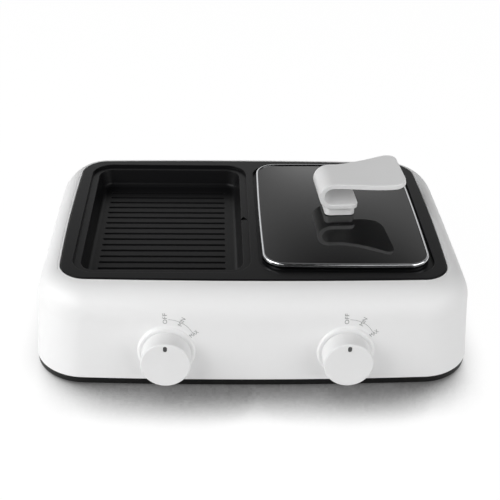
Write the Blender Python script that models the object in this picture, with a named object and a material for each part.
"""Countertop hot pot and grill combo: a white heated base with one lift-off double pan.

The left basin of the pan is a grill and the right one a hot pot under a glass lid.
All sizes are in metres. X runs to the right, Y to the back and Z up from the worktop.
"""
import math
from typing import NamedTuple

import bmesh
import bpy
from mathutils import Matrix, Vector

# Clearances
FIT_GAP = 0.0003
PAN_GAP = 0.0006
KNOB_GAP = 0.0008
SHAFT_GAP = 0.0006
CUT_OVERRUN = 0.002
LEAST_FLAT = 0.0001

# Case: the white housing on its black lower cover
CASE_SIDE_REACH = 0.0275
CASE_FRONT_REACH = 0.0371
CASE_BACK_REACH = 0.0090
CASE_FRONT_BOW = 0.0063
CASE_BACK_BOW = 0.0040
CASE_CORNER_RADIUS = 0.052
CASE_WALL = 0.0028
WALL_FLARE = math.radians(5.0)
SHOULDER_START = 0.0640
HOUSING_HEIGHT = 0.0957
LIP_WIDTH = 0.0017
SEAT_DEPTH = 0.0060
SEAT_WIDTH = 0.0070
SEAT_THICKNESS = 0.0028

# Lower cover, feet and the screws that hold the cover
FOOT_HEIGHT = 0.0035
FOOT_RADIUS = 0.0090
FOOT_EDGE = 0.0006
FOOT_SIDE_INSET = 0.0530
FOOT_FRONT_INSET = 0.0426
FOOT_BACK_INSET = 0.0365
COVER_HEIGHT = 0.0061
COVER_INSET = 0.0005
COVER_EDGE = 0.0010
COVER_FLOOR = 0.0025
COVER_WALL = 0.0022
COVER_RIM_HEIGHT = 0.0040
COVER_BOSS_RADIUS = 0.0065
COVER_BOSS_HEIGHT = 0.0045
COUNTERBORE_RADIUS = 0.0036
COUNTERBORE_DEPTH = 0.0032
PILLAR_RADIUS = 0.0050
PILLAR_SIDE_INSET = 0.0260
PILLAR_FRONT_INSET = 0.0686
PILLAR_BACK_INSET = 0.0445
VENT_LENGTH = 0.040
VENT_WIDTH = 0.0030
VENT_PITCH = 0.0140
VENT_COUNT = 5

# Screws
SCREW_RADIUS = 0.0015
SCREW_HEAD_RADIUS = 0.0030
SCREW_HEAD_HEIGHT = 0.0020
COVER_SCREW_LENGTH = 0.016
SMALL_SCREW_LENGTH = 0.0070
SMALL_HEAD_RADIUS = 0.0026
SMALL_HEAD_HEIGHT = 0.0016

# Double pan
PAN_SIDE_BORDER = 0.0135
PAN_END_BORDER = 0.0127
PAN_CORNER_RADIUS = 0.0257
PAN_SIDE_BOW = 0.0031
PAN_END_BOW = 0.0036
PAN_STAND = 0.0010
PAN_EDGE = 0.0012
PAN_PLATE = 0.0030
PAN_SKIRT = 0.0035
BASIN_BRIDGE = 0.0080
BASIN_WIDTH = 0.180
BASIN_DEPTH = 0.2296
BASIN_CORNER_RADIUS = 0.0235
BASIN_EDGE = 0.0012
LEDGE_DROP = 0.0030
LEDGE_WIDTH = 0.0080
LEDGE_EDGE = 0.0010
BASIN_DRAFT = 0.0035
FLOOR_FILLET = 0.0055
BASIN_WALL = 0.0030
GRILL_BASIN_DEPTH = 0.0215
GRILL_FLOOR = 0.0048
POT_BASIN_DEPTH = 0.0450
POT_FLOOR = 0.0035
GROOVE_COUNT = 16
GROOVE_FIELD_INSET = 0.05785
GROOVE_WIDTH = 0.0034
GROOVE_FOOT_WIDTH = 0.0022
GROOVE_DEPTH = 0.0022
GROOVE_END_MARGIN = 0.0115
GROOVE_SHIFT_Y = -0.0030
NOTCH_WIDTH = 0.0056
NOTCH_LENGTH = 0.0040
NOTCH_DEPTH = 0.0015

# Lid
LID_SIDE_GAP = 0.0030
LID_END_GAP = 0.0050
LID_SHIFT_X = -0.0007
LID_CORNER_RADIUS = 0.0220
LID_BOW = 0.0015
RIM_STAND = 0.0062
RIM_WIDTH = 0.0026
RIM_FLANGE = 0.0042
RIM_SHEET = 0.0010
RIM_ROUND = 0.0009
GLASS_THICKNESS = 0.0040
GLASS_CROWN = 0.0050
GLASS_FLAT = 0.0060

# Lid handle: a plastic strap bent into a loop on a small block
STRAP_THICKNESS = 0.0055
STRAP_WIDTH = 0.0465
STRAP_TIP_WIDTH = 0.0710
STRAP_FOOT_REACH = 0.0182
STRAP_TIP_REACH = 0.0668
STRAP_BEND_X = -0.0095
STRAP_HEIGHT = 0.0300
STRAP_RISE = 0.0062
STRAP_EDGE = 0.0016
STRAP_TIP_CORNER = 0.0140
STRAP_FOOT_CORNER = 0.0070
HANDLE_TURN = math.radians(3.5)
HANDLE_BLOCK_WIDTH = 0.0325
HANDLE_BLOCK_DEPTH = 0.0380
HANDLE_BLOCK_HEIGHT = 0.0100
HANDLE_BLOCK_CORNER = 0.0060
HANDLE_BLOCK_EDGE = 0.0010
HANDLE_SCREW_RADIUS = 0.0020
HANDLE_SCREW_HEAD_RADIUS = 0.0045
HANDLE_SCREW_HEAD_HEIGHT = 0.0026
HANDLE_SCREW_BITE = 0.0032
WASHER_RADIUS = 0.0080
WASHER_THICKNESS = 0.0010

# Knobs and their raised bosses on the front wall
KNOB_INSET = 0.00515
KNOB_SHIFT_X = 0.00075
KNOB_HEIGHT = 0.0341
KNOB_RADIUS = 0.0242
KNOB_DEPTH = 0.0214
KNOB_EDGE = 0.0012
KNOB_WALL = 0.0024
KNOB_FACE = 0.0030
KNOB_HUB_RADIUS = 0.0065
BOSS_RADIUS = 0.0278
BOSS_STAND = 0.0035
BOSS_FILLET = 0.0024
BOSS_EDGE = 0.0008
POINTER_WIDTH = 0.0037
POINTER_LENGTH = 0.0058
POINTER_RADIUS = 0.0184
POINTER_DEPTH = 0.0010
SHAFT_RADIUS = 0.0030
SHAFT_ENTRY = 0.0130
SHAFT_FLAT = 0.0018

# Thermostats behind the front wall
STANDOFF_RADIUS = 0.0038
STANDOFF_LENGTH = 0.0060
STANDOFF_SPACING = 0.0280
BRACKET_WIDTH = 0.0380
BRACKET_HEIGHT = 0.0240
BRACKET_THICKNESS = 0.0012
BRACKET_CORNER = 0.0040
THERMOSTAT_WIDTH = 0.0200
THERMOSTAT_HEIGHT = 0.0260
THERMOSTAT_DEPTH = 0.0160
THERMOSTAT_CORNER = 0.0020
THERMOSTAT_BORE = 0.0110

# Heating elements on their reflector trays
ELEMENT_RADIUS = 0.00325
ELEMENT_SIDE_INSET = 0.0310
ELEMENT_END_INSET = 0.0348
ELEMENT_CORNER = 0.024
ELEMENT_GAP = 0.0005
ELEMENT_TERMINAL_SPACING = 0.040
ELEMENT_TERMINAL_BEND = 0.012
ELEMENT_TERMINAL_DROP = 0.022
REFLECTOR_SIDE_INSET = 0.0100
REFLECTOR_END_INSET = 0.0118
REFLECTOR_CORNER = 0.022
REFLECTOR_WALL_HEIGHT = 0.0090
REFLECTOR_SHEET = 0.0010
REFLECTOR_BELOW_ELEMENT = 0.0060
REFLECTOR_HOLE_RADIUS = 0.0045
SADDLE_WIDTH = 0.0120
SADDLE_DEPTH = 0.0110
POST_RADIUS = 0.0035
POST_SIDE_INSET = 0.0200
POST_END_INSET = 0.0190
CUTOUT_RADIUS = 0.0080
CUTOUT_HEIGHT = 0.0090
CUTOUT_FLANGE_RADIUS = 0.0095
CUTOUT_FLANGE = 0.0010
CUTOUT_X = 0.030

# Power inlet in the back wall
INLET_HEIGHT = 0.0480
INLET_WIDTH = 0.0280
INLET_BODY_HEIGHT = 0.0200
INLET_BODY_DEPTH = 0.0210
INLET_CORNER = 0.0030
INLET_FLANGE_WIDTH = 0.0500
INLET_FLANGE_HEIGHT = 0.0240
INLET_FLANGE = 0.0018
INLET_SCREW_X = 0.0200
SOCKET_WIDTH = 0.0235
SOCKET_HEIGHT = 0.0155
SOCKET_DEPTH = 0.0165
SOCKET_CORNER = 0.0030
PIN_WIDTH = 0.0020
PIN_HEIGHT = 0.0040
PIN_SETBACK = 0.0030
PIN_TAIL = 0.0060
PIN_SPREAD = 0.0070
PIN_RAISE = 0.0030

# Terminal block and wiring
BLOCK_WIDTH = 0.0300
BLOCK_DEPTH = 0.0180
BLOCK_HEIGHT = 0.0120
BLOCK_CORNER = 0.0020
BLOCK_BACK_INSET = 0.0765
LEAD_RADIUS = 0.0011
LEAD_EXIT = 0.0060
LEAD_LEVEL = 0.0090
LEAD_LANE = 0.0080

# Facets
CORNER_STEPS = 6
SIDE_STEPS = 4
LID_SIDE_STEPS = 3
SMALL_CORNER_STEPS = 3
SHOULDER_STEPS = 6
FILLET_STEPS = 3
ROUND_SEGMENTS = 32
SMALL_SEGMENTS = 12
SCREW_SEGMENTS = 10
SMOOTH_ANGLE = math.radians(35)
PLAIN_STEPS = 1
SLOT_STEPS = 2
DOME_STEPS = 6
LEG_STEPS = 5
BEND_STEPS = 12
ARM_STEPS = 12
PATH_STEPS = 3
INLET_LEAD_POINTS = 10
LONG_LEAD_POINTS = 14
FEED_LEAD_POINTS = 12
WIRE_RESOLUTION = 2

# Shares of a size
ROUND_SHARE = 0.3
HEAD_CROWN_SHARE = 0.8
HEAD_SIDE_SHARE = 0.6
SCREW_TIP_SHARE = 0.4
PILOT_SHARE = 0.6
CUTOUT_TIP_SHARE = 0.7
SUPPLY_BEND_SHARES = (0.5, 0.95, 0.7)
ARM_SPACING_POWER = 1.6
ARM_RISE_POWER = 2.4

# Sizes that follow from the basins outwards
BASIN_X = (BASIN_WIDTH + BASIN_BRIDGE) / 2
PAN_WIDTH = 2 * BASIN_WIDTH + BASIN_BRIDGE + 2 * PAN_SIDE_BORDER
PAN_DEPTH = BASIN_DEPTH + 2 * PAN_END_BORDER
CASE_WIDTH = PAN_WIDTH + 2 * CASE_SIDE_REACH
CASE_FRONT = PAN_DEPTH / 2 + CASE_FRONT_REACH
CASE_BACK = PAN_DEPTH / 2 + CASE_BACK_REACH
FOOT_X = CASE_WIDTH / 2 - FOOT_SIDE_INSET
FOOT_FRONT_Y = FOOT_FRONT_INSET - CASE_FRONT
FOOT_BACK_Y = CASE_BACK - FOOT_BACK_INSET
PILLAR_X = CASE_WIDTH / 2 - PILLAR_SIDE_INSET
PILLAR_FRONT_Y = PILLAR_FRONT_INSET - CASE_FRONT
PILLAR_BACK_Y = CASE_BACK - PILLAR_BACK_INSET
GROOVE_PITCH = (BASIN_DEPTH - GROOVE_FIELD_INSET) / (GROOVE_COUNT - 1)
LID_WIDTH = BASIN_WIDTH - 2 * LID_SIDE_GAP
LID_DEPTH = BASIN_DEPTH - 2 * LID_END_GAP
KNOB_X = BASIN_X - KNOB_INSET
ELEMENT_WIDTH = BASIN_WIDTH - 2 * ELEMENT_SIDE_INSET
ELEMENT_DEPTH = BASIN_DEPTH - 2 * ELEMENT_END_INSET
REFLECTOR_WIDTH = BASIN_WIDTH - 2 * REFLECTOR_SIDE_INSET
REFLECTOR_DEPTH = BASIN_DEPTH - 2 * REFLECTOR_END_INSET
POST_X = REFLECTOR_WIDTH / 2 - POST_SIDE_INSET
POST_Y = REFLECTOR_DEPTH / 2 - POST_END_INSET
BLOCK_Y = CASE_BACK - BLOCK_BACK_INSET

# Levels above the worktop
COVER_TOP_Z = FOOT_HEIGHT + COVER_HEIGHT
COVER_FLOOR_Z = FOOT_HEIGHT + COVER_FLOOR
COVER_BOSS_Z = COVER_FLOOR_Z + COVER_BOSS_HEIGHT
SHOULDER_Z = COVER_TOP_Z + SHOULDER_START
LIP_Z = COVER_TOP_Z + HOUSING_HEIGHT
SEAT_Z = LIP_Z - SEAT_DEPTH
CEILING_Z = SEAT_Z - SEAT_THICKNESS
PLATE_Z = LIP_Z + PAN_STAND
LEDGE_Z = PLATE_Z - LEDGE_DROP
GRILL_FLOOR_Z = PLATE_Z - GRILL_BASIN_DEPTH
POT_FLOOR_Z = PLATE_Z - POT_BASIN_DEPTH
RIM_TOP_Z = PLATE_Z + RIM_STAND
GLASS_EDGE_Z = RIM_TOP_Z - RIM_SHEET - FIT_GAP
GLASS_TOP_Z = GLASS_EDGE_Z + GLASS_CROWN
BLOCK_TOP_Z = GLASS_TOP_Z + HANDLE_BLOCK_HEIGHT
LID_X = BASIN_X + LID_SHIFT_X
KNOB_STAND = BOSS_STAND + KNOB_GAP + KNOB_DEPTH


class Plan(NamedTuple):
    """A rounded rectangle seen from above, whose sides may bow outwards."""

    width: float
    depth: float
    radius: float
    side_bow: float = 0.0
    front_bow: float = 0.0
    back_bow: float = 0.0
    x: float = 0.0
    y: float = 0.0

    def grown(self, margin):
        """The same outline, larger by a margin all round."""
        return self._replace(
            width=self.width + 2 * margin,
            depth=self.depth + 2 * margin,
            radius=max(self.radius + margin, FIT_GAP),
        )

    def ring(self, z, corner_steps=CORNER_STEPS, side_steps=SIDE_STEPS):
        """The outline as points at one height, anticlockwise from the right-hand back corner."""
        straight = self._straight_ring(corner_steps, side_steps)
        half_width = self.width / 2
        half_depth = self.depth / 2
        points = []
        for x, y in straight:
            end_bow = self.back_bow if y > 0 else self.front_bow
            bow_x = self.side_bow * (y / half_depth) ** 2
            bow_y = end_bow * (x / half_width) ** 2
            share_x = x / half_width
            share_y = y / half_depth
            points.append(Vector((self.x + x - bow_x * share_x, self.y + y - bow_y * share_y, z)))
        return points

    def _straight_ring(self, corner_steps, side_steps):
        reach_x = self.width / 2 - self.radius
        reach_y = self.depth / 2 - self.radius
        centres = ((reach_x, reach_y), (-reach_x, reach_y), (-reach_x, -reach_y), (reach_x, -reach_y))
        corners = []
        for quarter, (centre_x, centre_y) in enumerate(centres):
            arc = []
            for step in range(corner_steps + 1):
                angle = math.pi / 2 * (quarter + step / corner_steps)
                x = centre_x + self.radius * math.cos(angle)
                y = centre_y + self.radius * math.sin(angle)
                arc.append((x, y))
            corners.append(arc)
        points = []
        for arc, following in zip(corners, corners[1:] + corners[:1]):
            points.extend(arc)
            start = Vector(arc[-1])
            end = Vector(following[0])
            for step in range(1, side_steps):
                points.append(tuple(start.lerp(end, step / side_steps)))
        return points


def mixed_ring(first, second, share, z):
    """A ring part of the way from one ring to another, at its own height."""
    points = []
    for start, end in zip(first, second):
        point = start.lerp(end, share)
        points.append(Vector((point.x, point.y, z)))
    return points


def loft(rings, closed=False):
    """Skin a row of rings, capped at both ends unless the row closes on itself."""
    mesh = bmesh.new()
    loops = [[mesh.verts.new(point) for point in ring] for ring in rings]
    pairs = list(zip(loops, loops[1:]))
    if closed:
        pairs.append((loops[-1], loops[0]))
    for lower, upper in pairs:
        for index in range(len(lower)):
            after = (index + 1) % len(lower)
            mesh.faces.new((lower[index], lower[after], upper[after], upper[index]))
    if not closed:
        mesh.faces.new(list(reversed(loops[0])))
        mesh.faces.new(loops[-1])
    bmesh.ops.recalc_face_normals(mesh, faces=mesh.faces)
    return mesh


def circle(radius, z, segments):
    """One ring of a turned shape."""
    step = math.tau / segments
    return [Vector((radius * math.cos(step * i), radius * math.sin(step * i), z)) for i in range(segments)]


def turned(profile, segments=ROUND_SEGMENTS, closed=False):
    """A turned solid about Z from (radius, height) pairs."""
    return loft([circle(radius, z, segments) for radius, z in profile], closed)


def cylinder(radius, bottom, top, segments=SMALL_SEGMENTS):
    """A plain round bar along Z."""
    return turned(((radius, bottom), (radius, top)), segments)


def block(plan, bottom, top, edge=0.0, corner_steps=SMALL_CORNER_STEPS):
    """A prism of one plan, with its upper and lower edges broken where an edge is given."""
    rings = []
    if edge:
        rings.append(plan.grown(-edge).ring(bottom, corner_steps, PLAIN_STEPS))
        rings.append(plan.ring(bottom + edge, corner_steps, PLAIN_STEPS))
        rings.append(plan.ring(top - edge, corner_steps, PLAIN_STEPS))
        rings.append(plan.grown(-edge).ring(top, corner_steps, PLAIN_STEPS))
    else:
        rings.append(plan.ring(bottom, corner_steps, PLAIN_STEPS))
        rings.append(plan.ring(top, corner_steps, PLAIN_STEPS))
    return loft(rings)


def gathered(meshes):
    """Several shapes in one mesh, for a cutter that works in many places."""
    whole = bmesh.new()
    for mesh in meshes:
        data = bpy.data.meshes.new("gathering")
        mesh.to_mesh(data)
        mesh.free()
        whole.from_mesh(data)
        bpy.data.meshes.remove(data)
    return whole


def moved(mesh, matrix):
    """The mesh after a move or a turn."""
    bmesh.ops.transform(mesh, matrix=matrix, verts=mesh.verts)
    return mesh


def material(name, colour, roughness, metallic=0.0):
    """A plain surface finish."""
    finish = bpy.data.materials.new(name)
    finish.use_nodes = True
    shader = finish.node_tree.nodes["Principled BSDF"]
    shader.inputs["Base Color"].default_value = (*colour, 1.0)
    shader.inputs["Roughness"].default_value = roughness
    shader.inputs["Metallic"].default_value = metallic
    finish.diffuse_color = (*colour, 1.0)
    return finish


def empty(name, parent=None, matrix=Matrix()):
    """A joint frame or another place that pieces hang from."""
    holder = bpy.data.objects.new(name, None)
    bpy.context.scene.collection.objects.link(holder)
    holder.parent = parent
    holder.matrix_local = matrix
    return holder


def solid(name, mesh, finish, parent, matrix=Matrix()):
    """An object of its own from a finished mesh."""
    data = bpy.data.meshes.new(name)
    mesh.to_mesh(data)
    mesh.free()
    data.shade_smooth()
    data.set_sharp_from_angle(angle=SMOOTH_ANGLE)
    piece = bpy.data.objects.new(name, data)
    bpy.context.scene.collection.objects.link(piece)
    piece.parent = parent
    piece.matrix_local = matrix
    if finish:
        data.materials.append(finish)
    return piece


def tool(name, mesh, parent, matrix=Matrix()):
    """A hidden shape that cuts or joins another one."""
    shape = solid(name, mesh, None, parent, matrix)
    shape.hide_render = True
    shape.display_type = "WIRE"
    return shape


def combine(piece, other, operation):
    """Cut one shape out of a piece, or join it on."""
    step = piece.modifiers.new(other.name, "BOOLEAN")
    step.operation = operation
    step.solver = "EXACT"
    step.object = other


def case_plan(height, inset):
    """The case's outline at a height above the housing's lower edge."""
    lean = math.tan(WALL_FLARE) * height
    outline = Plan(
        CASE_WIDTH,
        CASE_FRONT + CASE_BACK,
        CASE_CORNER_RADIUS,
        front_bow=CASE_FRONT_BOW,
        back_bow=CASE_BACK_BOW,
        y=(CASE_BACK - CASE_FRONT) / 2,
    )
    narrowed = outline.grown(-lean)
    return narrowed._replace(radius=CASE_CORNER_RADIUS).grown(-inset)


def pan_plan(margin=0.0):
    """The outer edge of the double pan."""
    outline = Plan(PAN_WIDTH, PAN_DEPTH, PAN_CORNER_RADIUS, PAN_SIDE_BOW, PAN_END_BOW, PAN_END_BOW)
    return outline.grown(margin)


def wall_frame(x, height, back=False):
    """A frame on the outer face of the front or back wall, with Z pointing out of the case."""
    lean = math.tan(WALL_FLARE) * height
    bow = CASE_BACK_BOW if back else CASE_FRONT_BOW
    reach = (CASE_BACK if back else CASE_FRONT) - lean
    drop = bow * (x / (CASE_WIDTH / 2 - lean)) ** 2
    facing = 1 if back else -1
    place = Matrix.Translation((x, facing * (reach - drop), COVER_TOP_Z + height))
    turn = Matrix.Rotation(math.pi if back else 0.0, 4, "Z")
    stand = Matrix.Rotation(math.pi / 2 - WALL_FLARE, 4, "X")
    return place @ turn @ stand


def knob_frame(side):
    """The wall frame of the left or the right knob."""
    return wall_frame(side * KNOB_X + KNOB_SHIFT_X, KNOB_HEIGHT)


def knob_front_reach():
    """How far the lower edge of a knob stands in front of the pan's centre."""
    centre = knob_frame(-1) @ Vector((0.0, 0.0, KNOB_STAND - KNOB_EDGE))
    lower_edge = (KNOB_RADIUS - KNOB_EDGE) * math.sin(WALL_FLARE)
    return lower_edge + KNOB_EDGE - centre.y


def clear_scene():
    """Start from nothing, whatever the file held."""
    for item in list(bpy.data.objects):
        bpy.data.objects.remove(item, do_unlink=True)


def screw(name, radius, head_radius, head_height, length, finish, parent, matrix):
    """A pan-head screw: the head below zero, the shank along +Z."""
    profile = (
        (head_radius * HEAD_CROWN_SHARE, -head_height),
        (head_radius, -head_height * HEAD_SIDE_SHARE),
        (head_radius, 0.0),
        (radius, 0.0),
        (radius, length - radius),
        (radius * SCREW_TIP_SHARE, length),
    )
    return solid(name, turned(profile, SCREW_SEGMENTS), finish, parent, matrix)


def corner_places(x, front_y, back_y):
    """Four named places, mirrored left and right."""
    return (
        ("front_left", -x, front_y),
        ("front_right", x, front_y),
        ("back_left", -x, back_y),
        ("back_right", x, back_y),
    )


def shoulder_rings(lower, upper, lower_z, upper_z):
    """Rings that turn from a wall into a top along a quarter ellipse."""
    rings = []
    for step in range(1, SHOULDER_STEPS + 1):
        angle = math.pi / 2 * step / SHOULDER_STEPS
        z = lower_z + (upper_z - lower_z) * math.sin(angle)
        rings.append(mixed_ring(lower, upper, 1 - math.cos(angle), z))
    return rings


def housing_outside():
    """The closed outer shape of the housing, from its lower edge to the lip around the pan."""
    foot = case_plan(0.0, 0.0).ring(COVER_TOP_Z)
    wall_top = case_plan(SHOULDER_START, 0.0).ring(SHOULDER_Z)
    lip = pan_plan(PAN_GAP + LIP_WIDTH).ring(LIP_Z)
    return loft([foot, wall_top] + shoulder_rings(wall_top, lip, SHOULDER_Z, LIP_Z))


def housing_inside():
    """The hollow of the housing, up to the underside of the pan's seat."""
    foot = case_plan(-CUT_OVERRUN, CASE_WALL).ring(COVER_TOP_Z - CUT_OVERRUN)
    wall_top = case_plan(SHOULDER_START, CASE_WALL).ring(SHOULDER_Z)
    lip = pan_plan(PAN_GAP + LIP_WIDTH - CASE_WALL).ring(CEILING_Z)
    return loft([foot, wall_top] + shoulder_rings(wall_top, lip, SHOULDER_Z, CEILING_Z))


def boss_profile():
    """A raised round boss with a soft foot, from inside the wall outwards."""
    foot = BOSS_RADIUS + BOSS_FILLET
    profile = [(foot, -CASE_WALL / 2), (foot, 0.0)]
    for step in range(1, FILLET_STEPS + 1):
        angle = math.pi / 2 * step / FILLET_STEPS
        profile.append((foot - BOSS_FILLET * math.sin(angle), BOSS_FILLET * (1 - math.cos(angle))))
    profile.append((BOSS_RADIUS, BOSS_STAND - BOSS_EDGE))
    profile.append((BOSS_RADIUS - BOSS_EDGE, BOSS_STAND))
    return profile


def make_housing(base, finish):
    """The white shell with the pan's opening, the knob bosses, pillars and standoffs."""
    housing = solid("housing", housing_outside(), finish, base)
    pillars = [
        moved(cylinder(PILLAR_RADIUS, COVER_BOSS_Z + FIT_GAP, PLATE_Z), Matrix.Translation((x, y, 0.0)))
        for _, x, y in corner_places(PILLAR_X, PILLAR_FRONT_Y, PILLAR_BACK_Y)
    ]
    standoffs = [
        moved(cylinder(STANDOFF_RADIUS, -CASE_WALL - STANDOFF_LENGTH, -CASE_WALL / 2), frame)
        for frame in standoff_frames()
    ]
    cavity = tool("housing_cavity", housing_inside(), base)
    combine(cavity, tool("pillar_keepers", gathered(pillars), base), "DIFFERENCE")
    combine(cavity, tool("standoff_keepers", gathered(standoffs), base), "DIFFERENCE")
    combine(housing, cavity, "DIFFERENCE")
    opening = loft([
        pan_plan(PAN_GAP).ring(SEAT_Z),
        pan_plan(PAN_GAP).ring(LIP_Z + CUT_OVERRUN),
    ])
    throat = loft([
        pan_plan(-SEAT_WIDTH).ring(CEILING_Z - CUT_OVERRUN),
        pan_plan(-SEAT_WIDTH).ring(SEAT_Z + CUT_OVERRUN),
    ])
    combine(housing, tool("pan_opening", opening, base), "DIFFERENCE")
    combine(housing, tool("pan_throat", throat, base), "DIFFERENCE")
    bosses = [moved(turned(boss_profile()), knob_frame(side)) for side in (-1, 1)]
    combine(housing, tool("knob_bosses", gathered(bosses), base), "UNION")
    combine(housing, tool("housing_holes", gathered(housing_holes()), base), "DIFFERENCE")
    return housing


def standoff_frames():
    """Where the thermostat brackets are screwed down, behind the front wall."""
    frames = []
    for side in (-1, 1):
        for offset in (-STANDOFF_SPACING / 2, STANDOFF_SPACING / 2):
            shift = Matrix.Translation((offset, 0.0, 0.0))
            frames.append(knob_frame(side) @ shift)
    return frames


def housing_holes():
    """Shaft holes, screw holes and the window for the power inlet."""
    shapes = []
    for side in (-1, 1):
        bore = cylinder(SHAFT_RADIUS + SHAFT_GAP, -CASE_WALL - CUT_OVERRUN, BOSS_STAND + CUT_OVERRUN)
        shapes.append(moved(bore, knob_frame(side)))
    pilot = SCREW_RADIUS + FIT_GAP
    for frame in standoff_frames():
        bottom = -CASE_WALL - STANDOFF_LENGTH - CUT_OVERRUN
        shapes.append(moved(cylinder(pilot, bottom, -CASE_WALL * PILOT_SHARE), frame))
    for _, x, y in corner_places(PILLAR_X, PILLAR_FRONT_Y, PILLAR_BACK_Y):
        top = COVER_BOSS_Z + COVER_SCREW_LENGTH
        bore = cylinder(pilot, COVER_BOSS_Z - CUT_OVERRUN, top)
        shapes.append(moved(bore, Matrix.Translation((x, y, 0.0))))
    inlet = wall_frame(0.0, INLET_HEIGHT, back=True)
    window = Plan(INLET_WIDTH + 2 * FIT_GAP, INLET_BODY_HEIGHT + 2 * FIT_GAP, INLET_CORNER + FIT_GAP)
    shapes.append(moved(block(window, -CASE_WALL - CUT_OVERRUN, CUT_OVERRUN), inlet))
    for side in (-1, 1):
        shift = Matrix.Translation((side * INLET_SCREW_X, 0.0, 0.0))
        shapes.append(moved(cylinder(pilot, -CASE_WALL - CUT_OVERRUN, CUT_OVERRUN), inlet @ shift))
    return shapes


def cover_outside():
    """The lower cover's outer shape, with a rim that locates inside the housing."""
    skirt = case_plan(0.0, COVER_INSET)
    rim = case_plan(0.0, CASE_WALL + FIT_GAP)
    rim_top = case_plan(COVER_RIM_HEIGHT, CASE_WALL + FIT_GAP)
    top = COVER_TOP_Z - FIT_GAP
    return loft([
        skirt.grown(-COVER_EDGE).ring(FOOT_HEIGHT),
        skirt.ring(FOOT_HEIGHT + COVER_EDGE),
        skirt.ring(top),
        rim.ring(top),
        rim_top.ring(top + COVER_RIM_HEIGHT),
    ])


def reflector_levels():
    """Each tray's side, the underside of its sheet and the underside of its basin."""
    levels = []
    for side, floor_z, floor in ((-1, GRILL_FLOOR_Z, GRILL_FLOOR), (1, POT_FLOOR_Z, POT_FLOOR)):
        pan_under = floor_z - floor
        element_z = pan_under - ELEMENT_GAP - ELEMENT_RADIUS
        sheet_under = element_z - ELEMENT_RADIUS - REFLECTOR_BELOW_ELEMENT - REFLECTOR_SHEET
        levels.append((side, sheet_under, element_z))
    return levels


def make_lower_cover(base, finish):
    """The black lower cover with its screw bosses, tray posts and vent slots."""
    cover = solid("lower_cover", cover_outside(), finish, base)
    hollow = case_plan(0.0, CASE_WALL + FIT_GAP + COVER_WALL)
    cavity_mesh = loft([
        hollow.ring(COVER_FLOOR_Z),
        hollow.ring(COVER_TOP_Z + COVER_RIM_HEIGHT + CUT_OVERRUN),
    ])
    cavity = tool("cover_cavity", cavity_mesh, base)
    bosses = []
    for _, x, y in corner_places(PILLAR_X, PILLAR_FRONT_Y, PILLAR_BACK_Y):
        boss = cylinder(COVER_BOSS_RADIUS, FOOT_HEIGHT + COVER_EDGE, COVER_BOSS_Z)
        bosses.append(moved(boss, Matrix.Translation((x, y, 0.0))))
    combine(cavity, tool("cover_bosses", gathered(bosses), base), "DIFFERENCE")
    combine(cover, cavity, "DIFFERENCE")
    posts = []
    for side, sheet_under, _ in reflector_levels():
        for _, x, y in corner_places(POST_X, -POST_Y, POST_Y):
            post = cylinder(POST_RADIUS, FOOT_HEIGHT + COVER_EDGE, sheet_under - FIT_GAP, SMALL_SEGMENTS)
            posts.append(moved(post, Matrix.Translation((side * BASIN_X + x, y, 0.0))))
    combine(cover, tool("tray_posts", gathered(posts), base), "UNION")
    combine(cover, tool("cover_holes", gathered(cover_holes()), base), "DIFFERENCE")
    return cover


def cover_holes():
    """Counterbored screw holes and two rows of vent slots."""
    shapes = []
    for _, x, y in corner_places(PILLAR_X, PILLAR_FRONT_Y, PILLAR_BACK_Y):
        step = FOOT_HEIGHT + COUNTERBORE_DEPTH
        profile = (
            (COUNTERBORE_RADIUS, FOOT_HEIGHT - CUT_OVERRUN),
            (COUNTERBORE_RADIUS, step),
            (SCREW_RADIUS + FIT_GAP, step),
            (SCREW_RADIUS + FIT_GAP, COVER_BOSS_Z + CUT_OVERRUN),
        )
        shapes.append(moved(turned(profile, SMALL_SEGMENTS), Matrix.Translation((x, y, 0.0))))
    slot = Plan(VENT_LENGTH, VENT_WIDTH, VENT_WIDTH / 2 - FIT_GAP)
    for side in (-1, 1):
        for index in range(VENT_COUNT):
            y = (index - (VENT_COUNT - 1) / 2) * VENT_PITCH
            place = Matrix.Translation((side * BASIN_X, y, 0.0))
            cut = block(slot, FOOT_HEIGHT - CUT_OVERRUN, COVER_FLOOR_Z + CUT_OVERRUN, 0.0, SLOT_STEPS)
            shapes.append(moved(cut, place))
    return shapes


def make_feet(base, finish):
    """Four round rubber feet under the cover."""
    profile = (
        (FOOT_RADIUS - FOOT_EDGE, 0.0),
        (FOOT_RADIUS, FOOT_EDGE),
        (FOOT_RADIUS, FOOT_HEIGHT - FIT_GAP),
    )
    for name, x, y in corner_places(FOOT_X, FOOT_FRONT_Y, FOOT_BACK_Y):
        solid("foot_" + name, turned(profile, SMALL_SEGMENTS), finish, base, Matrix.Translation((x, y, 0.0)))


def make_cover_screws(base, finish):
    """The screws that hold the lower cover to the housing's pillars."""
    seat = FOOT_HEIGHT + COUNTERBORE_DEPTH - FIT_GAP
    length = COVER_BOSS_Z + COVER_SCREW_LENGTH - CUT_OVERRUN - seat
    for name, x, y in corner_places(PILLAR_X, PILLAR_FRONT_Y, PILLAR_BACK_Y):
        place = Matrix.Translation((x, y, seat))
        screw("cover_screw_" + name, SCREW_RADIUS, SCREW_HEAD_RADIUS, SCREW_HEAD_HEIGHT,
              length, finish, base, place)


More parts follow.
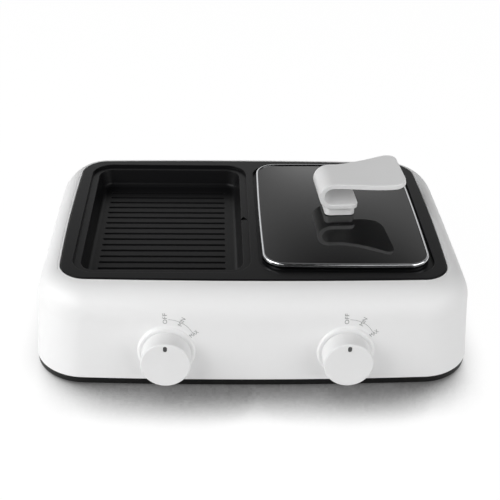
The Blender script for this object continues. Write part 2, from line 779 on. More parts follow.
def basin_outside(side, floor_z, floor):
    """The outer shape of one basin, which hangs from the pan's plate."""
    opening = Plan(BASIN_WIDTH, BASIN_DEPTH, BASIN_CORNER_RADIUS, x=side * BASIN_X)
    ledge_inner = opening.grown(-LEDGE_WIDTH)
    foot = ledge_inner.grown(-BASIN_DRAFT)
    ledge_under = LEDGE_Z - PAN_PLATE
    bottom = floor_z - floor
    rounding = FLOOR_FILLET * ROUND_SHARE
    return loft([
        foot.grown(BASIN_WALL - FLOOR_FILLET).ring(bottom, CORNER_STEPS, PLAIN_STEPS),
        foot.grown(BASIN_WALL - rounding).ring(bottom + rounding, CORNER_STEPS, PLAIN_STEPS),
        foot.grown(BASIN_WALL).ring(bottom + FLOOR_FILLET, CORNER_STEPS, PLAIN_STEPS),
        ledge_inner.grown(BASIN_WALL).ring(ledge_under, CORNER_STEPS, PLAIN_STEPS),
        opening.grown(BASIN_WALL).ring(ledge_under, CORNER_STEPS, PLAIN_STEPS),
        opening.grown(BASIN_WALL).ring(PLATE_Z - PAN_PLATE / 2, CORNER_STEPS, PLAIN_STEPS),
    ])


def arc_rings(plan, margin, z, radius, start, end):
    """Rings along a rounded edge, whose centre lies at a margin from the plan."""
    rings = []
    for step in range(FILLET_STEPS + 1):
        angle = start + (end - start) * step / FILLET_STEPS
        outline = plan.grown(margin + radius * math.cos(angle))
        rings.append(outline.ring(z + radius * math.sin(angle), CORNER_STEPS, PLAIN_STEPS))
    return rings


def basin_inside(side, floor_z):
    """The hollow of one basin: a rolled edge, the lid's ledge, the drafted wall and the floor."""
    opening = Plan(BASIN_WIDTH, BASIN_DEPTH, BASIN_CORNER_RADIUS, x=side * BASIN_X)
    ledge_inner = opening.grown(-LEDGE_WIDTH)
    foot = ledge_inner.grown(-BASIN_DRAFT)
    rings = arc_rings(foot, -FLOOR_FILLET, floor_z + FLOOR_FILLET, FLOOR_FILLET, -math.pi / 2, 0.0)
    rings += arc_rings(ledge_inner, LEDGE_EDGE, LEDGE_Z - LEDGE_EDGE, LEDGE_EDGE, math.pi, math.pi / 2)
    rings.append(opening.ring(LEDGE_Z, CORNER_STEPS, PLAIN_STEPS))
    rings += arc_rings(opening, BASIN_EDGE, PLATE_Z - BASIN_EDGE, BASIN_EDGE, math.pi, math.pi / 2)
    rings.append(opening.grown(BASIN_EDGE).ring(PLATE_Z + CUT_OVERRUN, CORNER_STEPS, PLAIN_STEPS))
    return loft(rings)


def groove_cutters():
    """The grill's cross grooves: tapered slots with round ends."""
    length = BASIN_WIDTH - 2 * (LEDGE_WIDTH + BASIN_DRAFT + GROOVE_END_MARGIN)
    foot = Plan(length, GROOVE_FOOT_WIDTH, GROOVE_FOOT_WIDTH / 2 - FIT_GAP, x=-BASIN_X)
    mouth = foot.grown((GROOVE_WIDTH - GROOVE_FOOT_WIDTH) / 2)
    rise = GROOVE_DEPTH + CUT_OVERRUN
    top = foot.grown((GROOVE_WIDTH - GROOVE_FOOT_WIDTH) / 2 * rise / GROOVE_DEPTH)
    shapes = []
    for index in range(GROOVE_COUNT):
        y = (index - (GROOVE_COUNT - 1) / 2) * GROOVE_PITCH + GROOVE_SHIFT_Y
        rings = (
            foot._replace(y=y).ring(GRILL_FLOOR_Z - GROOVE_DEPTH, SMALL_CORNER_STEPS, PLAIN_STEPS),
            mouth._replace(y=y).ring(GRILL_FLOOR_Z, SMALL_CORNER_STEPS, PLAIN_STEPS),
            top._replace(y=y).ring(GRILL_FLOOR_Z + CUT_OVERRUN, SMALL_CORNER_STEPS, PLAIN_STEPS),
        )
        shapes.append(loft(rings))
    return shapes


def notch_cutter():
    """A small three-cornered notch in the ledge between the two basins."""
    edge_x = -BASIN_X + BASIN_WIDTH / 2 - LEDGE_WIDTH
    corners = (
        (edge_x - CUT_OVERRUN, -NOTCH_WIDTH / 2),
        (edge_x + NOTCH_LENGTH, 0.0),
        (edge_x - CUT_OVERRUN, NOTCH_WIDTH / 2),
    )
    lower = [Vector((x, y, LEDGE_Z - NOTCH_DEPTH)) for x, y in corners]
    upper = [Vector((x, y, LEDGE_Z + CUT_OVERRUN)) for x, y in corners]
    return loft((lower, upper))


def make_pan(holder, finish):
    """The cast double pan: one plate with a grill basin and a pot basin."""
    edge = PAN_EDGE
    plate = loft([
        pan_plan().ring(SEAT_Z + FIT_GAP),
        pan_plan().ring(PLATE_Z - edge),
        pan_plan(-edge * ROUND_SHARE).ring(PLATE_Z - edge * ROUND_SHARE),
        pan_plan(-edge).ring(PLATE_Z),
    ])
    pan = solid("double_pan", plate, finish, holder)
    pocket = loft([
        pan_plan(-PAN_SKIRT).ring(SEAT_Z - CUT_OVERRUN),
        pan_plan(-PAN_SKIRT).ring(PLATE_Z - PAN_PLATE),
    ])
    combine(pan, tool("pan_pocket", pocket, holder), "DIFFERENCE")
    basins = ((-1, "grill", GRILL_FLOOR_Z, GRILL_FLOOR), (1, "pot", POT_FLOOR_Z, POT_FLOOR))
    for side, name, floor_z, floor in basins:
        combine(pan, tool(name + "_basin_shell", basin_outside(side, floor_z, floor), holder), "UNION")
    for side, name, floor_z, _ in basins:
        combine(pan, tool(name + "_basin_hollow", basin_inside(side, floor_z), holder), "DIFFERENCE")
    combine(pan, tool("grill_grooves", gathered(groove_cutters()), holder), "DIFFERENCE")
    combine(pan, tool("ledge_notch", notch_cutter(), holder), "DIFFERENCE")
    return pan


def lid_plan(margin=0.0):
    """The lid's outline, over the pot basin and a little off its middle."""
    outline = Plan(LID_WIDTH, LID_DEPTH, LID_CORNER_RADIUS, LID_BOW, LID_BOW, LID_BOW, x=LID_X)
    return outline.grown(margin)


def make_lid_rim(holder, finish):
    """The pressed steel rim: a channel that holds the glass and stands on the pan's ledge."""
    bottom = LEDGE_Z + FIT_GAP
    glass_under = GLASS_EDGE_Z - GLASS_THICKNESS - FIT_GAP
    sections = (
        (0.0, bottom + RIM_ROUND),
        (0.0, RIM_TOP_Z - RIM_ROUND),
        (-RIM_ROUND * ROUND_SHARE, RIM_TOP_Z - RIM_ROUND * ROUND_SHARE),
        (-RIM_ROUND, RIM_TOP_Z),
        (-RIM_WIDTH, RIM_TOP_Z),
        (-RIM_WIDTH, RIM_TOP_Z - RIM_SHEET),
        (-RIM_SHEET, RIM_TOP_Z - RIM_SHEET),
        (-RIM_SHEET, glass_under),
        (-RIM_FLANGE, glass_under),
        (-RIM_FLANGE, glass_under - RIM_SHEET),
        (-2 * RIM_SHEET, glass_under - RIM_SHEET),
        (-2 * RIM_SHEET, bottom),
        (-RIM_ROUND, bottom),
    )
    rings = [lid_plan(margin).ring(z, CORNER_STEPS, LID_SIDE_STEPS) for margin, z in sections]
    return solid("lid_rim", loft(rings, closed=True), finish, holder)


def dome_rings(edge_z):
    """Rings of one face of the domed glass, from its edge inwards."""
    outline = lid_plan(-RIM_SHEET - FIT_GAP)
    rings = [outline.ring(edge_z, CORNER_STEPS, LID_SIDE_STEPS)]
    inner = outline.grown(-GLASS_FLAT)
    for step in range(DOME_STEPS):
        share = 1 - step / DOME_STEPS
        height = edge_z + GLASS_CROWN * (1 - share ** 2)
        centre = Vector((outline.x, outline.y, height))
        ring = inner.ring(height, CORNER_STEPS, LID_SIDE_STEPS)
        rings.append([centre.lerp(point, share) for point in ring])
    return rings


def make_lid_glass(holder, finish):
    """The tempered glass, slightly domed, with a hole for the handle's screw."""
    under = dome_rings(GLASS_EDGE_Z - GLASS_THICKNESS)
    over = dome_rings(GLASS_EDGE_Z)
    glass = solid("lid_glass", loft(list(reversed(under)) + over), finish, holder)
    bore = cylinder(
        HANDLE_SCREW_RADIUS + FIT_GAP,
        GLASS_EDGE_Z - GLASS_THICKNESS - CUT_OVERRUN,
        GLASS_TOP_Z + CUT_OVERRUN,
    )
    place = Matrix.Translation((LID_X, 0.0, 0.0))
    combine(glass, tool("glass_bore", moved(bore, place), holder), "DIFFERENCE")
    return glass


def handle_place():
    """The handle's frame: over the lid's middle, turned a little on its screw."""
    return Matrix.Translation((LID_X, 0.0, 0.0)) @ Matrix.Rotation(HANDLE_TURN, 4, "Z")


def strap_stations():
    """Places along the strap's middle, from the foot end round the bend to the tip.

    Each is (x, z, slope angle, half width), with z from the top of the block.
    """
    radius = (STRAP_HEIGHT - STRAP_THICKNESS) / 2
    low = FIT_GAP + STRAP_THICKNESS / 2
    half = STRAP_WIDTH / 2
    stations = []
    for step in range(LEG_STEPS):
        reach = STRAP_FOOT_REACH - STRAP_BEND_X
        travelled = reach * (step / LEG_STEPS) ** 2
        width = half - corner_loss(travelled, STRAP_FOOT_CORNER)
        stations.append((STRAP_FOOT_REACH - travelled, low, math.pi, width))
    for step in range(BEND_STEPS + 1):
        angle = math.pi * step / BEND_STEPS
        x = STRAP_BEND_X - radius * math.sin(angle)
        z = low + radius * (1 - math.cos(angle))
        stations.append((x, z, math.pi - angle, half))
    arm = STRAP_TIP_REACH - STRAP_BEND_X
    for step in range(1, ARM_STEPS + 1):
        share = 1 - (1 - step / ARM_STEPS) ** ARM_SPACING_POWER
        x = STRAP_BEND_X + arm * share
        rise = STRAP_RISE * share ** ARM_RISE_POWER
        slope = ARM_RISE_POWER * STRAP_RISE * share ** (ARM_RISE_POWER - 1) / arm
        width = half + (STRAP_TIP_WIDTH - STRAP_WIDTH) / 2 * smooth_share(share)
        width -= corner_loss(STRAP_TIP_REACH - x, STRAP_TIP_CORNER)
        stations.append((x, low + 2 * radius + rise, math.atan(slope), width))
    return stations


def smooth_share(share):
    """A share from 0 to 1 that starts and ends gently."""
    return share * share * (3 - 2 * share)


def corner_loss(distance, radius):
    """How much a rounded corner narrows one side at a distance from the end."""
    if distance >= radius:
        return 0.0
    return radius - math.sqrt(radius ** 2 - (radius - distance) ** 2)


def strap_ring(x, z, angle, reach):
    """One rounded cross-section of the strap."""
    half_thickness = STRAP_THICKNESS / 2
    along = Vector((-math.sin(angle), 0.0, math.cos(angle)))
    centre = Vector((x, 0.0, BLOCK_TOP_Z + z))
    ring = []
    for across, up in ((1, 1), (-1, 1), (-1, -1), (1, -1)):
        first = (reach, half_thickness - STRAP_EDGE)
        middle = (reach - STRAP_EDGE * ROUND_SHARE, half_thickness - STRAP_EDGE * ROUND_SHARE)
        last = (reach - STRAP_EDGE, half_thickness)
        order = (first, middle, last) if across * up > 0 else (last, middle, first)
        for width, height in order:
            ring.append(centre + Vector((0.0, across * width, 0.0)) + along * (up * height))
    return ring


def make_strap(holder, finish):
    """The handle's strap: a leg on the block, a bend and a wide lifted tip."""
    stations = strap_stations()
    rings = [strap_ring(x, z, angle, width) for x, z, angle, width in stations]
    strap = solid("handle_strap", loft(rings), finish, holder, handle_place())
    bore = cylinder(
        HANDLE_SCREW_RADIUS + FIT_GAP,
        BLOCK_TOP_Z - CUT_OVERRUN,
        BLOCK_TOP_Z + HANDLE_SCREW_BITE + 2 * FIT_GAP,
    )
    combine(strap, tool("strap_bore", bore, holder, handle_place()), "DIFFERENCE")
    return strap


def make_handle(holder, plastic, steel, silicone):
    """The block under the strap, its washer and the screw from below the glass."""
    place = handle_place()
    plan = Plan(HANDLE_BLOCK_WIDTH, HANDLE_BLOCK_DEPTH, HANDLE_BLOCK_CORNER)
    foot = block(plan, GLASS_TOP_Z + FIT_GAP, BLOCK_TOP_Z, HANDLE_BLOCK_EDGE)
    base = solid("handle_block", foot, plastic, holder, place)
    bore = HANDLE_SCREW_RADIUS + FIT_GAP
    recess = WASHER_RADIUS + FIT_GAP
    recess_top = GLASS_TOP_Z + WASHER_THICKNESS + 2 * FIT_GAP
    profile = (
        (recess, GLASS_TOP_Z - CUT_OVERRUN),
        (recess, recess_top),
        (bore, recess_top),
        (bore, BLOCK_TOP_Z + CUT_OVERRUN),
    )
    combine(base, tool("block_bore", turned(profile, SMALL_SEGMENTS), holder, place), "DIFFERENCE")
    washer_bottom = GLASS_TOP_Z + FIT_GAP
    washer = turned((
        (bore, washer_bottom),
        (WASHER_RADIUS, washer_bottom),
        (WASHER_RADIUS, washer_bottom + WASHER_THICKNESS),
        (bore, washer_bottom + WASHER_THICKNESS),
    ), SMALL_SEGMENTS, closed=True)
    solid("handle_washer", washer, silicone, holder, place)
    seat = GLASS_TOP_Z - GLASS_THICKNESS - FIT_GAP
    length = BLOCK_TOP_Z + HANDLE_SCREW_BITE - seat
    screw("handle_screw", HANDLE_SCREW_RADIUS, HANDLE_SCREW_HEAD_RADIUS, HANDLE_SCREW_HEAD_HEIGHT,
          length, steel, holder, place @ Matrix.Translation((0.0, 0.0, seat)))


def knob_profile():
    """The knob's section from its bore out round the skirt to the face; zero is its back edge."""
    bore = SHAFT_RADIUS + FIT_GAP
    under_face = KNOB_DEPTH - KNOB_FACE
    skirt = KNOB_RADIUS - KNOB_WALL
    profile = [
        (bore, SHAFT_ENTRY + FIT_GAP),
        (bore, 0.0),
        (KNOB_HUB_RADIUS, 0.0),
        (KNOB_HUB_RADIUS, under_face),
        (skirt, under_face),
        (skirt, 0.0),
        (KNOB_RADIUS, 0.0),
    ]
    for step in range(FILLET_STEPS + 1):
        angle = math.pi / 2 * step / FILLET_STEPS
        radius = KNOB_RADIUS - KNOB_EDGE * (1 - math.cos(angle))
        profile.append((radius, KNOB_DEPTH - KNOB_EDGE * (1 - math.sin(angle))))
    profile.append((KNOB_RADIUS - KNOB_EDGE - FIT_GAP, KNOB_DEPTH))
    return profile


def make_knob(side, name, base, plastic, dark, steel):
    """A knob on its joint frame, with its pointer and the shaft that it turns."""
    back = Matrix.Translation((0.0, 0.0, BOSS_STAND + KNOB_GAP))
    axis = empty(name + "_knob_axis", base, knob_frame(side) @ back)
    knob = solid(name + "_knob", turned(knob_profile()), plastic, axis)
    pill = Plan(POINTER_WIDTH, POINTER_LENGTH, POINTER_WIDTH / 2 - LEAST_FLAT, y=POINTER_RADIUS)
    pocket_floor = KNOB_DEPTH - POINTER_DEPTH - FIT_GAP
    pocket = block(pill.grown(FIT_GAP), pocket_floor, KNOB_DEPTH + CUT_OVERRUN, 0.0, CORNER_STEPS)
    combine(knob, tool(name + "_pointer_pocket", pocket, axis), "DIFFERENCE")
    pointer = block(pill, KNOB_DEPTH - POINTER_DEPTH, KNOB_DEPTH - FIT_GAP / 2, 0.0, CORNER_STEPS)
    solid(name + "_pointer", pointer, dark, axis)
    inner_end = -BOSS_STAND - KNOB_GAP - CASE_WALL - STANDOFF_LENGTH - THERMOSTAT_BORE
    shaft = solid(name + "_shaft", cylinder(SHAFT_RADIUS, inner_end, SHAFT_ENTRY), steel, axis)
    flat = Plan(4 * SHAFT_RADIUS, 2 * SHAFT_RADIUS, FIT_GAP, y=-SHAFT_FLAT - SHAFT_RADIUS)
    cut = block(flat, FIT_GAP, SHAFT_ENTRY + CUT_OVERRUN)
    combine(shaft, tool(name + "_shaft_flat", cut, axis), "DIFFERENCE")
    return axis


def make_thermostat(side, name, base, steel, dark_plastic, screw_steel):
    """A thermostat on its bracket, screwed to two standoffs behind the front wall."""
    frame = knob_frame(side)
    front = -CASE_WALL - STANDOFF_LENGTH - FIT_GAP
    plate = Plan(BRACKET_WIDTH, BRACKET_HEIGHT, BRACKET_CORNER)
    plate_mesh = block(plate, front - BRACKET_THICKNESS, front)
    bracket = solid(name + "_thermostat_bracket", plate_mesh, steel, base, frame)
    holes = [cylinder(SHAFT_RADIUS + SHAFT_GAP, front - CUT_OVERRUN, front + CUT_OVERRUN)]
    for offset in (-STANDOFF_SPACING / 2, STANDOFF_SPACING / 2):
        hole = cylinder(SCREW_RADIUS + FIT_GAP, front - CUT_OVERRUN, front + CUT_OVERRUN)
        holes.append(moved(hole, Matrix.Translation((offset, 0.0, 0.0))))
    combine(bracket, tool(name + "_bracket_holes", gathered(holes), base, frame), "DIFFERENCE")
    body_front = front - BRACKET_THICKNESS - FIT_GAP
    body_plan = Plan(THERMOSTAT_WIDTH, THERMOSTAT_HEIGHT, THERMOSTAT_CORNER)
    body_mesh = block(body_plan, body_front - THERMOSTAT_DEPTH, body_front, 0.0, SLOT_STEPS)
    body = solid(name + "_thermostat", body_mesh, dark_plastic, base, frame)
    bore = cylinder(SHAFT_RADIUS + SHAFT_GAP, body_front - THERMOSTAT_BORE, body_front + CUT_OVERRUN)
    combine(body, tool(name + "_thermostat_bore", bore, base, frame), "DIFFERENCE")
    for index, offset in enumerate((-STANDOFF_SPACING / 2, STANDOFF_SPACING / 2)):
        place = Matrix.Translation((offset, 0.0, body_front))
        screw("{}_bracket_screw_{}".format(name, index + 1), SCREW_RADIUS, SMALL_HEAD_RADIUS,
              SMALL_HEAD_HEIGHT, SMALL_SCREW_LENGTH, screw_steel, base, frame @ place)


def rounded_path(points, radius):
    """A path of straight runs whose corners follow quarter turns of one radius."""
    path = [points[0]]
    for before, corner, after in zip(points, points[1:], points[2:]):
        towards = (before - corner).normalized()
        onwards = (after - corner).normalized()
        start = corner + towards * radius
        end = corner + onwards * radius
        for step in range(PATH_STEPS + 1):
            share = step / PATH_STEPS
            entry = start.lerp(corner, share)
            leaving = corner.lerp(end, share)
            path.append(entry.lerp(leaving, share))
    path.append(points[-1])
    return path


def smooth_path(points, count):
    """Evenly spread points on one smooth curve through the route's own points."""
    ends = [points[0] * 2 - points[1]] + points + [points[-1] * 2 - points[-2]]
    knots = [0.0]
    for start, end in zip(ends, ends[1:]):
        knots.append(knots[-1] + math.sqrt((end - start).length))
    path = []
    span = 1
    for index in range(count):
        position = knots[1] + (knots[-2] - knots[1]) * index / (count - 1)
        while span < len(points) - 1 and position > knots[span + 1]:
            span += 1
        path.append(curve_point(ends[span - 1:span + 3], knots[span - 1:span + 3], position))
    return path


def curve_point(points, knots, position):
    """A point of the curve through four neighbours, blended pair by pair."""
    level = list(points)
    for reach in (1, 2, 3):
        merged = []
        for index in range(len(level) - 1):
            first = knots[1] if reach == 3 else knots[index]
            last = knots[2] if reach == 3 else knots[index + reach]
            share = (position - first) / (last - first)
            merged.append(level[index].lerp(level[index + 1], share))
        level = merged
    return level[0]


def tube(name, path, radius, finish, parent):
    """A round bar or wire along a path, closed at both ends."""
    curve = bpy.data.curves.new(name, "CURVE")
    curve.dimensions = "3D"
    curve.bevel_depth = radius
    curve.bevel_resolution = WIRE_RESOLUTION
    curve.use_fill_caps = True
    line = curve.splines.new("POLY")
    line.points.add(len(path) - 1)
    for point, place in zip(line.points, path):
        point.co = (*place, 1.0)
    curve.materials.append(finish)
    bar = bpy.data.objects.new(name, curve)
    bpy.context.scene.collection.objects.link(bar)
    bar.parent = parent
    return bar


def terminal_places(side, element_z):
    """The lower ends of an element's two legs, inner one first."""
    front_y = -ELEMENT_DEPTH / 2 + ELEMENT_CORNER + ELEMENT_TERMINAL_BEND
    low = element_z - ELEMENT_TERMINAL_DROP
    inner = side * (BASIN_X - ELEMENT_TERMINAL_SPACING / 2)
    outer = side * (BASIN_X + ELEMENT_TERMINAL_SPACING / 2)
    return Vector((inner, front_y, low)), Vector((outer, front_y, low))


def make_element(side, name, element_z, base, steel, bright):
    """A sheathed heating element, its reflector tray and the saddles that carry it."""
    inner, outer = terminal_places(side, element_z)
    half_width = ELEMENT_WIDTH / 2
    half_depth = ELEMENT_DEPTH / 2
    middle = side * BASIN_X
    left, right = (inner, outer) if inner.x < outer.x else (outer, inner)
    corners = [
        left,
        Vector((left.x, left.y, element_z)),
        Vector((left.x, -half_depth, element_z)),
        Vector((middle - half_width, -half_depth, element_z)),
        Vector((middle - half_width, half_depth, element_z)),
        Vector((middle + half_width, half_depth, element_z)),
        Vector((middle + half_width, -half_depth, element_z)),
        Vector((right.x, -half_depth, element_z)),
        Vector((right.x, right.y, element_z)),
        right,
    ]
    tube(name + "_element", rounded_path(corners, ELEMENT_TERMINAL_BEND), ELEMENT_RADIUS, steel, base)
    sheet_top = element_z - ELEMENT_RADIUS - REFLECTOR_BELOW_ELEMENT
    plan = Plan(REFLECTOR_WIDTH, REFLECTOR_DEPTH, REFLECTOR_CORNER, x=middle)
    tray_mesh = block(plan, sheet_top - REFLECTOR_SHEET, sheet_top + REFLECTOR_WALL_HEIGHT)
    tray = solid(name + "_reflector", tray_mesh, bright, base)
    hollow = block(plan.grown(-REFLECTOR_SHEET), sheet_top, sheet_top + REFLECTOR_WALL_HEIGHT + CUT_OVERRUN)
    combine(tray, tool(name + "_reflector_hollow", hollow, base), "DIFFERENCE")
    holes = []
    for leg in (inner, outer):
        bottom = sheet_top - REFLECTOR_SHEET - CUT_OVERRUN
        hole = cylinder(REFLECTOR_HOLE_RADIUS, bottom, sheet_top + CUT_OVERRUN)
        holes.append(moved(hole, Matrix.Translation((leg.x, leg.y, 0.0))))
    combine(tray, tool(name + "_reflector_holes", gathered(holes), base), "DIFFERENCE")
    for index, x in enumerate((middle - half_width, middle + half_width)):
        saddle_plan = Plan(SADDLE_WIDTH, SADDLE_DEPTH, REFLECTOR_SHEET, x=x)
        saddle_mesh = block(saddle_plan, sheet_top + FIT_GAP, element_z)
        saddle = solid("{}_element_saddle_{}".format(name, index + 1), saddle_mesh, bright, base)
        along = Matrix.Translation((x, 0.0, element_z)) @ Matrix.Rotation(math.pi / 2, 4, "X")
        groove = cylinder(ELEMENT_RADIUS + FIT_GAP, -SADDLE_DEPTH, SADDLE_DEPTH)
        cutter = tool("{}_saddle_groove_{}".format(name, index + 1), moved(groove, along), base)
        combine(saddle, cutter, "DIFFERENCE")


def make_thermal_cutout(base, finish):
    """The round safety cut-out pressed against the underside of the grill's reflector."""
    _, sheet_under, _ = reflector_levels()[0]
    top = sheet_under - FIT_GAP
    profile = (
        (CUTOUT_RADIUS * CUTOUT_TIP_SHARE, top - CUTOUT_HEIGHT),
        (CUTOUT_RADIUS, top - CUTOUT_HEIGHT),
        (CUTOUT_RADIUS, top - CUTOUT_FLANGE),
        (CUTOUT_FLANGE_RADIUS, top - CUTOUT_FLANGE),
        (CUTOUT_FLANGE_RADIUS, top),
    )
    place = Matrix.Translation((-BASIN_X + CUTOUT_X, 0.0, 0.0))
    solid("thermal_cutout", turned(profile, SMALL_SEGMENTS), finish, base, place)


def pin_places():
    """The inlet's three pins, in the inlet's own frame."""
    return (
        ("live", -PIN_SPREAD, -PIN_RAISE),
        ("neutral", PIN_SPREAD, -PIN_RAISE),
        ("earth", 0.0, PIN_RAISE),
    )


def pin_tail():
    """The inner end of the pins in the inlet's frame."""
    return -INLET_BODY_DEPTH - PIN_TAIL


def make_inlet(base, plastic, brass, screw_steel):
    """The power inlet in the back wall: a flanged socket, three pins and two screws."""
    frame = wall_frame(0.0, INLET_HEIGHT, back=True)
    flange = Plan(INLET_FLANGE_WIDTH, INLET_FLANGE_HEIGHT, INLET_CORNER)
    body = Plan(INLET_WIDTH, INLET_BODY_HEIGHT, INLET_CORNER)
    flange_top = FIT_GAP + INLET_FLANGE
    inlet = solid("power_inlet", block(flange, FIT_GAP, flange_top), plastic, base, frame)
    body_mesh = block(body, -INLET_BODY_DEPTH, flange_top - INLET_FLANGE / 2)
    combine(inlet, tool("inlet_body", body_mesh, base, frame), "UNION")
    socket = Plan(SOCKET_WIDTH, SOCKET_HEIGHT, SOCKET_CORNER)
    cuts = [block(socket, flange_top - SOCKET_DEPTH, flange_top + CUT_OVERRUN)]
    for side in (-1, 1):
        hole = cylinder(SCREW_RADIUS + FIT_GAP, -CUT_OVERRUN, flange_top + CUT_OVERRUN)
        cuts.append(moved(hole, Matrix.Translation((side * INLET_SCREW_X, 0.0, 0.0))))
    combine(inlet, tool("inlet_socket", gathered(cuts), base, frame), "DIFFERENCE")
    slots = []
    for name, x, y in pin_places():
        pin = Plan(PIN_WIDTH, PIN_HEIGHT, FIT_GAP, x=x, y=y)
        slot_top = flange_top - SOCKET_DEPTH + CUT_OVERRUN
        slots.append(block(pin.grown(FIT_GAP), -INLET_BODY_DEPTH - CUT_OVERRUN, slot_top))
        blade = block(pin, pin_tail(), flange_top - PIN_SETBACK, 0.0, PLAIN_STEPS)
        solid("inlet_pin_" + name, blade, brass, base, frame)
    combine(inlet, tool("inlet_slots", gathered(slots), base, frame), "DIFFERENCE")
    for index, side in enumerate((-1, 1)):
        turn = Matrix.Rotation(math.pi, 4, "X")
        place = Matrix.Translation((side * INLET_SCREW_X, 0.0, flange_top + FIT_GAP)) @ turn
        screw("inlet_screw_{}".format(index + 1), SCREW_RADIUS, SMALL_HEAD_RADIUS, SMALL_HEAD_HEIGHT,
              SMALL_SCREW_LENGTH, screw_steel, base, frame @ place)


def make_terminal_block(base, finish):
    """The terminal block on the floor of the lower cover."""
    plan = Plan(BLOCK_WIDTH, BLOCK_DEPTH, BLOCK_CORNER, y=BLOCK_Y)
    bottom = COVER_FLOOR_Z + FIT_GAP
    solid("terminal_block", block(plan, bottom, bottom + BLOCK_HEIGHT, BLOCK_CORNER / 2), finish, base)


def thermostat_terminal(side, offset):
    """A point just behind a thermostat's back face, and one straight out from it."""
    frame = knob_frame(side)
    back = -CASE_WALL - STANDOFF_LENGTH - BRACKET_THICKNESS - THERMOSTAT_DEPTH - 3 * FIT_GAP
    return frame @ Vector((offset, 0.0, back)), frame @ Vector((offset, 0.0, back - LEAD_EXIT))


def make_leads(base, brown, blue, earth):
    """The insulated wires between the inlet, the block, the thermostats and the elements."""
    level = COVER_FLOOR_Z + LEAD_LEVEL
    inlet = wall_frame(0.0, INLET_HEIGHT, back=True)
    block_back = BLOCK_Y + BLOCK_DEPTH / 2 + FIT_GAP
    block_front = BLOCK_Y - BLOCK_DEPTH / 2 - FIT_GAP
    block_side = BLOCK_WIDTH / 2 + FIT_GAP
    for (name, x, y), finish in zip(pin_places(), (brown, blue, earth)):
        tail = inlet @ Vector((x, y, pin_tail() - FIT_GAP))
        leave = inlet @ Vector((x, y, pin_tail() - LEAD_EXIT))
        route = [
            tail,
            leave,
            Vector((tail.x, block_back + LEAD_EXIT, level)),
            Vector((tail.x, block_back, level)),
        ]
        tube("inlet_lead_" + name, smooth_path(route, INLET_LEAD_POINTS), LEAD_RADIUS, finish, base)
    for (side, _, element_z), name in zip(reflector_levels(), ("grill", "pot")):
        inner, outer = terminal_places(side, element_z)
        drop = Vector((0.0, 0.0, LEAD_EXIT))
        gap = Vector((0.0, 0.0, FIT_GAP))
        contact, leave = thermostat_terminal(side, -side * LEAD_LANE / 2)
        lane = side * LEAD_LANE
        supply = [
            Vector((lane, block_front, level)),
            Vector((lane, block_front - LEAD_EXIT, level)),
            Vector((lane, -POST_Y, level)),
            Vector([size * share for size, share in zip(leave, SUPPLY_BEND_SHARES)]),
            leave,
            contact,
        ]
        tube(name + "_supply_lead", smooth_path(supply, LONG_LEAD_POINTS), LEAD_RADIUS, brown, base)
        contact, leave = thermostat_terminal(side, side * LEAD_LANE / 2)
        feed = [
            contact,
            leave,
            outer - drop * 2,
            outer - drop,
            outer - gap,
        ]
        tube(name + "_feed_lead", smooth_path(feed, FEED_LEAD_POINTS), LEAD_RADIUS, brown, base)
        back = [
            inner - gap,
            inner - drop,
            Vector((inner.x, BLOCK_Y / 2, level)),
            Vector((side * (block_side + LEAD_EXIT), BLOCK_Y, level)),
            Vector((side * block_side, BLOCK_Y, level)),
        ]
        tube(name + "_return_lead", smooth_path(back, LONG_LEAD_POINTS), LEAD_RADIUS, blue, base)


def settle_shading():
    """Let the large faces rule the shading beside holes and bosses."""
    for piece in bpy.data.objects:
        if piece.modifiers and not piece.hide_render:
            step = piece.modifiers.new("shading", "WEIGHTED_NORMAL")
            step.keep_sharp = True


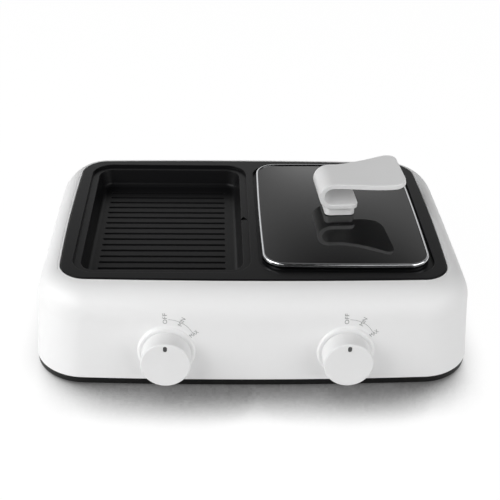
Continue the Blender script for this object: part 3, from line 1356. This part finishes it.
def build():
    """Model the whole appliance."""
    clear_scene()
    white = material("white_housing_plastic", (0.80, 0.80, 0.80), 0.42)
    black = material("black_cover_plastic", (0.012, 0.012, 0.013), 0.5)
    rubber = material("black_rubber", (0.02, 0.02, 0.02), 0.9)
    coating = material("nonstick_coating", (0.022, 0.022, 0.023), 0.45)
    steel = material("polished_steel", (0.62, 0.62, 0.63), 0.18, 1.0)
    zinc = material("zinc_plated_steel", (0.55, 0.55, 0.56), 0.35, 1.0)
    bright = material("aluminised_steel", (0.66, 0.66, 0.67), 0.4, 1.0)
    sheath = material("element_sheath", (0.10, 0.10, 0.11), 0.5, 1.0)
    glass = material("tinted_glass", (0.03, 0.03, 0.032), 0.05)
    knob_white = material("white_knob_plastic", (0.76, 0.76, 0.76), 0.35)
    pointer = material("grey_pointer", (0.08, 0.08, 0.085), 0.5)
    silicone = material("clear_silicone", (0.55, 0.55, 0.55), 0.6)
    bakelite = material("brown_bakelite", (0.05, 0.03, 0.02), 0.5)
    brass = material("brass", (0.70, 0.52, 0.22), 0.3, 1.0)
    brown = material("brown_insulation", (0.12, 0.05, 0.025), 0.5)
    blue = material("blue_insulation", (0.03, 0.10, 0.45), 0.5)
    green = material("green_insulation", (0.10, 0.35, 0.06), 0.5)

    middle_y = (knob_front_reach() - CASE_BACK) / 2
    base = empty("appliance", matrix=Matrix.Translation((0.0, middle_y, 0.0)))
    pan_slide = empty("pan_slide", base)
    lid_slide = empty("lid_slide", pan_slide)
    make_lower_cover(base, black)
    make_housing(base, white)
    make_feet(base, rubber)
    make_cover_screws(base, zinc)
    make_inlet(base, black, brass, zinc)
    make_terminal_block(base, white)
    for (side, _, element_z), name in zip(reflector_levels(), ("grill", "pot")):
        make_element(side, name, element_z, base, sheath, bright)
    make_thermal_cutout(base, bakelite)
    for side, name in ((-1, "left"), (1, "right")):
        make_thermostat(side, name, base, zinc, bakelite, zinc)
        make_knob(side, name, base, knob_white, pointer, steel)
    make_leads(base, brown, blue, green)
    make_pan(pan_slide, coating)
    make_lid_rim(lid_slide, steel)
    make_lid_glass(lid_slide, glass)
    make_handle(lid_slide, knob_white, zinc, silicone)
    make_strap(lid_slide, knob_white)
    settle_shading()
    bpy.context.view_layer.update()


build()
